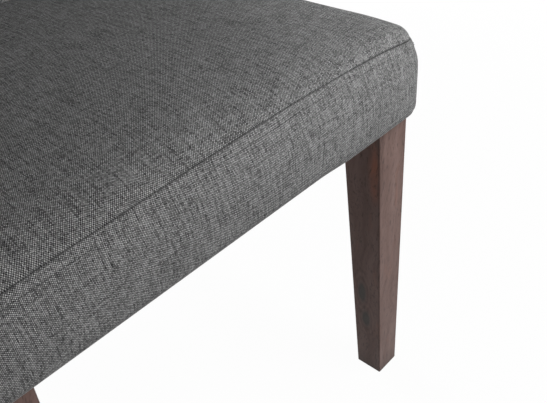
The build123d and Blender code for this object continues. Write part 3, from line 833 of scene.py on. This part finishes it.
def padded_edge(gap, radius):
    """Rise of a panel's rounded edge above its seam, and how much longer its arc is than its plan."""
    reach = radius * cos(EDGE_SLOPE)
    near = np.minimum(gap, reach)
    turn = np.arccos(cos(EDGE_SLOPE) - near / radius)
    rise = radius * (np.sin(turn) - sin(EDGE_SLOPE))
    longer = radius * (pi / 2 - turn) - (reach - near)
    return rise, longer


def uneven(points, scale, height, seed):
    """Slight unevenness of a surface, as heights at its points."""
    finer, finer_share = 2.3, 0.5
    shift = Vector((seed, seed * 0.7, -seed))
    values = []
    for p in points.reshape(-1, 3):
        place = Vector(p) * scale
        values.append(noise.noise(place + shift) + finer_share * noise.noise(place * finer - shift))
    return np.array(values).reshape(points.shape[:2]) * height


def refine(grid):
    """Extra lines of points beside the three sewn edges of a panel."""
    n, k = grid.shape[:2]
    close = [0.0, 0.12, 0.27, 0.5, 0.75]
    i = np.array(close + list(range(1, n - 1)) + [n - 1 - c for c in close[::-1]])
    j = np.array(list(range(0, k - 1)) + [k - 1 - c for c in close[::-1]])
    return spread(grid, np.arange(n), np.arange(k), i, j)


# Relief of the finished covers
GROOVE_DEPTH, GROOVE_WIDTH = 0.0008, 0.0007  # of the seam
SHADE_WIDTH = 0.0006  # half width of the painted shade line in it
GENTLE_RISE, GENTLE_REACH = 0.0110, 0.021  # of the panel where its edge isn't rolled
LINE_WIDTH, LINE_DEPTH, LINE_SHADE = 0.0009, 0.0004, 0.45  # of the stitching line; its shade is painted
PAD_RISE = 0.0004  # of the boxing between the seam and the stitching line
FULLNESS = 0.0018  # of the boxing below it
UNEVEN_SCALE, UNEVEN_HEIGHT = 13.0, 0.00055
UNEVEN_FROM_SEAM, UNEVEN_FROM_FOLD = 0.012, 0.01  # unevenness fades out this close
WEAVE_STRETCH = (1.06, 0.85)  # of the weave on a panel, across and along


def seam_groove(gap):
    return GROOVE_DEPTH * np.exp(-(gap / GROOVE_WIDTH) ** 2)


def seam_shade(gap):
    return np.exp(-(gap / SHADE_WIDTH) ** 4)


def panel_relief(shell, plan, points):
    """Heights of a crowned panel above its plain form, its weave map and its seam shade."""
    form = shell.form
    gap, way = nearest(plan, shell.seam[shell.first:len(shell.seam) - shell.first])
    rise, longer = padded_edge(gap, form.roll)
    plump = form.plump(plan[..., 0], plan[..., 1])
    rise = plump * rise + (1 - plump) * GENTLE_RISE * (1 - np.exp(-gap / GENTLE_REACH))
    rough = uneven(points, UNEVEN_SCALE, UNEVEN_HEIGHT, 4.0) * np.minimum(1, gap / UNEVEN_FROM_SEAM)
    uv = (plan[..., :2] + way[..., :2] * (plump * longer)[..., None]) * WEAVE_STRETCH
    return rise - seam_groove(gap) + rough, uv, seam_shade(gap)


def boxing_relief(shell, points):
    """Heights of a boxing above its plain form, its weave map and its painted shade and light. The hem stays
    plain.
    """
    rows = len(shell.down)
    height = shell.down[-1]
    gap = np.ones(points.shape[:2])
    gap[:, :rows] = shell.down[None]
    line = np.exp(-((gap - STITCH_LINE) / LINE_WIDTH) ** 2)
    pad_from, pad_in, pad_out = 0.0008, 0.003, 0.002
    pad = smooth((gap - pad_from) / pad_in) * smooth((STITCH_LINE - gap) / pad_out)
    full_from, full_in, full_out = 0.004, 0.020, 0.005
    full = smooth((gap - full_from) / full_in) * smooth((height - gap) / full_out)
    shape = -seam_groove(gap) + PAD_RISE * pad - LINE_DEPTH * line + FULLNESS * full
    ease = np.minimum(1, gap / UNEVEN_FROM_SEAM)
    ease[:, rows:] = 0
    ease[:, :rows] *= np.minimum(1, (height - shell.down) / UNEVEN_FROM_FOLD)[None]
    shape = shape + uneven(points, UNEVEN_SCALE, UNEVEN_HEIGHT, 3.0) * ease
    u = run_along(shell.boxing[:, rows // 2])
    drop = np.linalg.norm(np.diff(shell.boxing, axis=1), axis=2).mean(0)
    v = -np.concatenate([[0], np.cumsum(drop)])
    uv = np.stack(np.broadcast_arrays(u[:, None], v[None]), -1)
    painted_shading = seam_shade(gap) + LINE_SHADE * line
    painted_shading[:, rows - 1:rows + 1] = -1.0  # painted light along the fold
    return shape, uv, np.minimum(painted_shading, 1)


def dressed(form):
    """The finished grids of one cover, its line of stitches and its shell."""
    slack, moves = swollen(form)
    fine = Shell(form, FINE_STEP, True)
    plan = refine(fine.panel)
    boxing, panel = fine.places(fine.boxing), fine.places(plan)
    rows = len(fine.down)
    # Movements from the simulation, read at the places of the fine grids
    share_from, share_to = slack.down / slack.down[-1], fine.down / fine.down[-1]
    col_from, col_to = share_along(slack.places(slack.seam)), share_along(fine.places(fine.seam))
    boxing[:, :rows] += spread(moves[0], col_from, share_from, col_to, share_to)
    panel += spread(moves[1], *middle_lines(slack.places(slack.panel)), *middle_lines(panel))
    boxing += form.eased(fine.boxing)
    panel += form.eased(plan)
    heart = heart_of(form, panel)
    parts = []
    for grid, relief in ((boxing, boxing_relief(fine, boxing)), (panel, panel_relief(fine, plan, panel))):
        shape, uv, painted_shading = relief
        out = outward(grid, heart)
        raised = grid + out * shape[..., None]
        parts.append((raised, uv, painted_shading, faces_away(raised, out)))
    row = int(np.argmin(np.abs(fine.down - STITCH_LINE)))
    stitches = (parts[0][0][:, row], outward(parts[0][0], heart)[:, row])
    return parts, stitches, fine


def piece_from(name, parts, material):
    """One cloth piece from its grids."""
    points, faces, uvs, painted_shading_values, first = [], [], [], [], 0
    for grid, uv, painted_shading, flip in parts:
        faces.append(quads(grid.shape[:2], first, flip))
        points.append(grid.reshape(-1, 3))
        uvs.append(uv.reshape(-1, 2))
        painted_shading_values.append(painted_shading.ravel())
        first += grid.shape[0] * grid.shape[1]
    obj = mesh_object(name, np.concatenate(points), np.concatenate(faces), material, np.concatenate(uvs),
                      np.concatenate(painted_shading_values))
    stiffened(obj, FABRIC, -1)
    return obj


# Both covers, the seat's first
weave = weave_material()
seat_parts, seat_stitches, _ = dressed(SeatForm())
back_parts, back_stitches, back_shell = dressed(BackForm())

seat_cover = piece_from("seat_cover", seat_parts, weave)
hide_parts("seat_top_panel", "seat_boxing", "seat_foam", "front_edge_padding",
            "side_edge_padding_left", "side_edge_padding_right")


# Back cover
def turned_under(edge, way, rows):
    """Hem from an edge: rows that go so far along a way and drop so far."""
    hem = [edge]
    for go, drop in rows:
        hem.append(edge + np.outer(np.broadcast_to(go, len(edge)), way) + (0, 0, drop))
    return np.stack(hem, 1)


def outside_panel(shell):
    """Outside panel of the back: a taut sheet over the rear edge of the boxing, with its hem."""
    edge_inset, edge_rise, edge_width = 0.0004, 0.0013, 0.0025
    uneven_scale, uneven_height, uneven_from_edge = 9.0, 0.0006, 0.03
    shade, shade_width = 0.9, 0.0008
    form = shell.form
    h = np.full(len(shell.cols), form.low)
    x, p = shell.plan(h, np.full(len(h), BACK_REAR_INSET + edge_inset))
    rim = np.stack([x, p, h], -1)
    left, right, end, foot = panel_edges(rim, 0, shell.arc_middle)
    foot[:, 1], foot[:, 2] = form.foot(np.array(form.low)), form.low
    grid = refine(blended_grid(left, right, foot, end))
    points = shell.places(grid)
    rear = -form.out
    gap, _ = nearest(points, shell.places(rim))
    rough = uneven(points, uneven_scale, uneven_height, 8.0) * np.minimum(1, gap / uneven_from_edge)
    shape = edge_rise * smooth(gap / edge_width) + rough
    points = points + rear * shape[..., None]
    # Painted shade along the edge where the sheet meets the boxing
    painted_shading = shade * np.exp(-(gap / shade_width) ** 2)
    sheet = (points, grid[..., :2], painted_shading, faces_away(points, rear))
    # Hem turned under at the foot, short at the legs
    short_hem, full_hem = 0.0125, 0.026
    across = points[:, 0]
    legs = np.abs(across[:, 0]) > HALF_REAR - OVERHANG - LEG - LEG_MARGIN
    reach = np.where(legs, short_hem, full_hem)
    hem = turned_under(across, (0, -1, 0), ((0.0005, -0.0009), (0.0018, -0.0012), (reach, -0.0010)))
    uv = np.stack([across[:, None, 0] + 0 * hem[..., 0], hem[..., 1] - across[:, None, 1]], -1)
    return [sheet, (hem, uv, np.zeros(hem.shape[:2]), faces_away(hem, DOWN))]


def boxing_feet(grid):
    """Ends of the back's boxing turned under beside the rear legs."""
    out = []
    for edge, side in ((grid[0], 1), (grid[-1], -1)):
        hem = turned_under(edge, (-side, 0, 0), ((0.0004, -0.0006), (0.0014, -0.0009), (0.0105, -0.0008)))
        strip = hem.swapaxes(0, 1)
        uv = np.stack([strip[..., 1], strip[..., 0]], -1)
        out.append((strip, uv, np.zeros(strip.shape[:2]), faces_away(strip, DOWN)))
    return out


back_parts += outside_panel(back_shell) + boxing_feet(back_parts[0][0])
back_cover = piece_from("back_cover", back_parts, weave)
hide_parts("back_inside_panel", "back_boxing", "back_outside_panel", "back_foam",
            "back_edge_padding_left", "back_edge_padding_right", "back_top_padding", "back_rear_padding")


# Stitches
def stitch_piece(name, material, line, normal, pitch=0.0042, length=0.0032, radius=0.00032):
    """Short lengths of thread pulled into the cloth along a line of points."""
    sides, lift, dive = 6, 0.00025, 0.0022
    stations = ((-0.5, 0.55), (-0.25, 1), (0.25, 1), (0.5, 0.55))  # shares of the length and of the radius
    ring = [(cos(a), sin(a)) for a in np.linspace(0, 2 * pi, sides + 1)[:-1]]
    points, faces = [], []
    run = run_along(line)
    for at in np.arange(pitch, run[-1] - pitch, pitch):
        up = np.array([np.interp(at, run, normal[:, k]) for k in range(3)])
        centres = []
        for s, _ in stations:
            centre = np.array([np.interp(at + s * length, run, line[:, k]) for k in range(3)])
            centres.append(centre + up * (lift - dive * (abs(s) - 0.25)))
        ahead = centres[-1] - centres[0]
        ahead /= np.linalg.norm(ahead)
        up /= np.linalg.norm(up)
        side = np.cross(ahead, up)
        faces += tube_faces(len(points), len(stations), sides)
        for centre, (_, share) in zip(centres, stations):
            points += [centre + radius * share * (c * side + s * up) for c, s in ring]
    obj = mesh_object(name, np.array(points), np.array(faces), material)
    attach(obj, "root")
    return obj


thread = thread_material()
for name, stitches in (("seat_stitching", seat_stitches), ("back_stitching", back_stitches)):
    stitch_piece(name, thread, *stitches)


# Dust cover and staples
def dust_outline():
    """Corners of the dust cover, cut out round the legs, and where it starts and ends."""
    inset, gap = 0.015, 0.0003
    y0 = FRONT_Y + inset
    y1 = FACE_Y + (UNDERSIDE - SEAT_TOP) * tan(LEAN) + BACK_THICK / cos(LEAN) - inset

    def side(y):
        return HALF_FRONT - SEAT_TAPER * (y - FRONT_Y) - inset

    rear_face = FACE_Y + (UNDERSIDE + FABRIC + gap - SEAT_TOP) * tan(LEAN)
    rear_face += (BACK_THICK - OVERHANG) / cos(LEAN)
    front_x, front_y = LEG_IN - gap, LEG_Y1 + gap
    rear_x, rear_y = HALF_REAR - OVERHANG - LEG - gap, rear_face - LEG - gap
    half = [(front_x, y0), (front_x, front_y), (side(front_y), front_y), (side(rear_y), rear_y),
            (rear_x, rear_y), (rear_x, y1)]
    return half + [(-x, y) for x, y in half[::-1]], y0, y1


def dust_sheet():
    """The sheet, which sags a little between the rails, its outline, its flat size and its area."""
    below_rails, cell = 0.0005, 0.010
    sag_depth, sag_reach, sag_y = 0.0030, 0.21, -0.05
    ripple, ripple_scale, ripple_seed = 0.0004, 40, 2
    outline, y0, y1 = dust_outline()
    bm = bmesh.new()
    bm.faces.new([bm.verts.new((x, y, UNDERSIDE - below_rails)) for x, y in outline])
    for axis, low, high in ((0, -HALF_FRONT, HALF_FRONT), (1, y0, y1)):
        for cut in np.arange(low, high, cell)[1:]:
            point, normal = [0, 0, 0], [0, 0, 0]
            point[axis], normal[axis] = float(cut), 1
            bmesh.ops.bisect_plane(bm, geom=bm.verts[:] + bm.edges[:] + bm.faces[:], plane_co=point,
                                   plane_no=normal, dist=1e-6)
    area = sum(f.calc_area() for f in bm.faces)
    for v in bm.verts:
        x, y = v.co.x, v.co.y
        sag = max(0, 1 - (x / sag_reach) ** 2) * max(0, 1 - ((y - sag_y) / sag_reach) ** 2)
        wave = noise.noise(Vector((x * ripple_scale, y * ripple_scale, ripple_seed)))
        v.co.z -= sag_depth * sag + ripple * sag * wave
    bmesh.ops.recalc_face_normals(bm, faces=bm.faces[:])
    mesh = bpy.data.meshes.new("dust_sheet")
    bm.to_mesh(mesh)
    bm.free()
    xs = [x for x, _ in outline]
    return smooth_object("dust_sheet", mesh), outline, (max(xs) - min(xs), y1 - y0), area


dust_thickness = 0.0006
dust, outline, flat, area = dust_sheet()
dust.data.materials.append(dust_cloth())
stiffened(dust, dust_thickness, 0)
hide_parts("dust_cover")


def staples(outline):
    """Wire staples round the edge of the dust cover."""
    wire, half, leg, bend = 0.00035, 0.0050, 0.004, 0.0006
    spacing, edge, shortest, level = 0.038, 0.006, 0.06, UNDERSIDE - 0.0014
    # Places along and up the bent wire, with how far the wire's rings turn there
    path = ((-half, leg, 1), (-half, bend, 0.7), (-half + bend, 0, 0.3), (half - bend, 0, -0.3),
            (half, bend, -0.7), (half, leg, -1))
    ring = [(c * wire, s * wire) for c, s in ((1, 0), (0.7, 0.7), (0, 1), (-0.7, 0.7), (-1, 0), (-0.7, -0.7),
                                              (0, -1), (0.7, -0.7))]
    points, faces = [], []
    middle = np.mean(np.array(outline), 0)
    for (x0, y0), (x1, y1) in zip(outline, outline[1:] + outline[:1]):
        ahead = np.array((x1 - x0, y1 - y0))
        size = np.linalg.norm(ahead)
        if size < shortest:
            continue
        ahead /= size
        inward = np.array((-ahead[1], ahead[0]))
        if np.dot(inward, middle - np.array((x0, y0))) < 0:
            inward = -inward
        count = int(size / spacing)
        for n in range(count):
            at = np.array((x0, y0)) + ahead * size * (n + 0.5) / count + inward * edge
            slant = 0.25 * sin(7.3 * n + 20 * x0)
            along = ahead * cos(slant) + inward * sin(slant)
            cross = np.array((-along[1], along[0]))
            faces += tube_faces(len(points), len(path), len(ring))
            for run, up, tilt in path:
                upright = abs(tilt) > 0.5
                for c, s in ring:
                    here = at + along * (run + (s * tilt if upright else 0)) + cross * c
                    points.append((here[0], here[1], level + up + (0 if upright else s)))
    obj = mesh_object("dust_cover_staples", np.array(points), np.array(faces), staple_steel())
    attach(obj, "root")
    return obj


staple_piece = staples(outline)

# Materials of the solids that are shown as they are
stain = stained_wood()
plain = raw_wood()
finishes = {"front_leg": stain, "rear_leg": stain, "back_board": hardboard(), "seat_webbing": webbing()}
for name, obj in nodes.items():
    finish = next((made for start, made in finishes.items() if name.startswith(start)), plain)
    obj.data.materials.clear()
    obj.data.materials.append(finish)


# Floor, surroundings and lamps
def floor_material():
    """Pale floor that is bright to look at and dull as a source of light."""
    dull_grey, seen_grey = (0.30, 0.30, 0.30), (0.82, 0.82, 0.82)
    m = Nodes("studio_floor")
    rays = m.put("LightPath").outputs
    seen = m.math("MAXIMUM", m.math("MAXIMUM", rays["Is Camera Ray"], rays["Is Glossy Ray"]),
                  rays["Is Transmission Ray"])
    glow = m.put("Emission", {"Color": (1, 1, 1, 1), "Strength": 1.0})
    dull = m.put("BsdfDiffuse", {"Color": m.mix(seen, dull_grey, seen_grey)})
    # The floor takes the chair's shadow near it and fades into the white ground further off
    x, y, _ = m.split(m.place())
    share = m.range(m.hypot(x, y), 0.4, 1.5, 0.97, 1.0)
    both = m.put("MixShader", {0: m.times(seen, share), 1: dull.outputs[0], 2: glow.outputs[0]})
    m.feed(m.tree.nodes["Material Output"].inputs["Surface"], both.outputs[0])
    return m.made


reach = 9
corners = reach * np.array([(-1, -1, 0), (1, -1, 0), (1, 1, 0), (-1, 1, 0)])
floor = mesh_object("floor", corners, np.array([(0, 1, 2, 3)]), floor_material())

# The surroundings light the chair faintly and are white where they are seen
faint_light, seen_light = 0.02, 1.0
w = Nodes("studio", "worlds")
bpy.context.scene.world = w.made
rays = w.put("LightPath").outputs
seen = w.math("MAXIMUM", rays["Is Camera Ray"], rays["Is Transmission Ray"])
ground = w.tree.nodes["Background"].inputs
w.feed(ground["Strength"], w.range(seen, 0.0, 1.0, faint_light, seen_light))
w.feed(ground["Color"], (1, 1, 1))

# Name, place, aim, power in watts and size of each lamp
LAMPS = (("key", (0.42, -0.62, 0.91), (0.15, -0.2, 0.45), 3.75, 0.36),
         ("front", (0.7, -2.4, 0.75), (0.1, -0.2, 0.35), 25, 1.0),
         ("rear", (0.4, 2.3, 1.1), (0, 0.1, 0.5), 48, 1.2),
         ("left", (-2.2, -0.3, 0.30), (0, -0.1, 0.22), 10, 0.9))
for name, place, aim, power, width in LAMPS:
    data = bpy.data.lights.new(name, "AREA")
    assign(data, energy=power, shape="DISK", size=width)
    turn = (Vector(aim) - Vector(place)).to_track_quat("-Z", "Y").to_euler()
    assign(linked(name, data), location=place, rotation_euler=turn, visible_camera=False)

bpy.context.scene.view_settings.view_transform = "Standard"
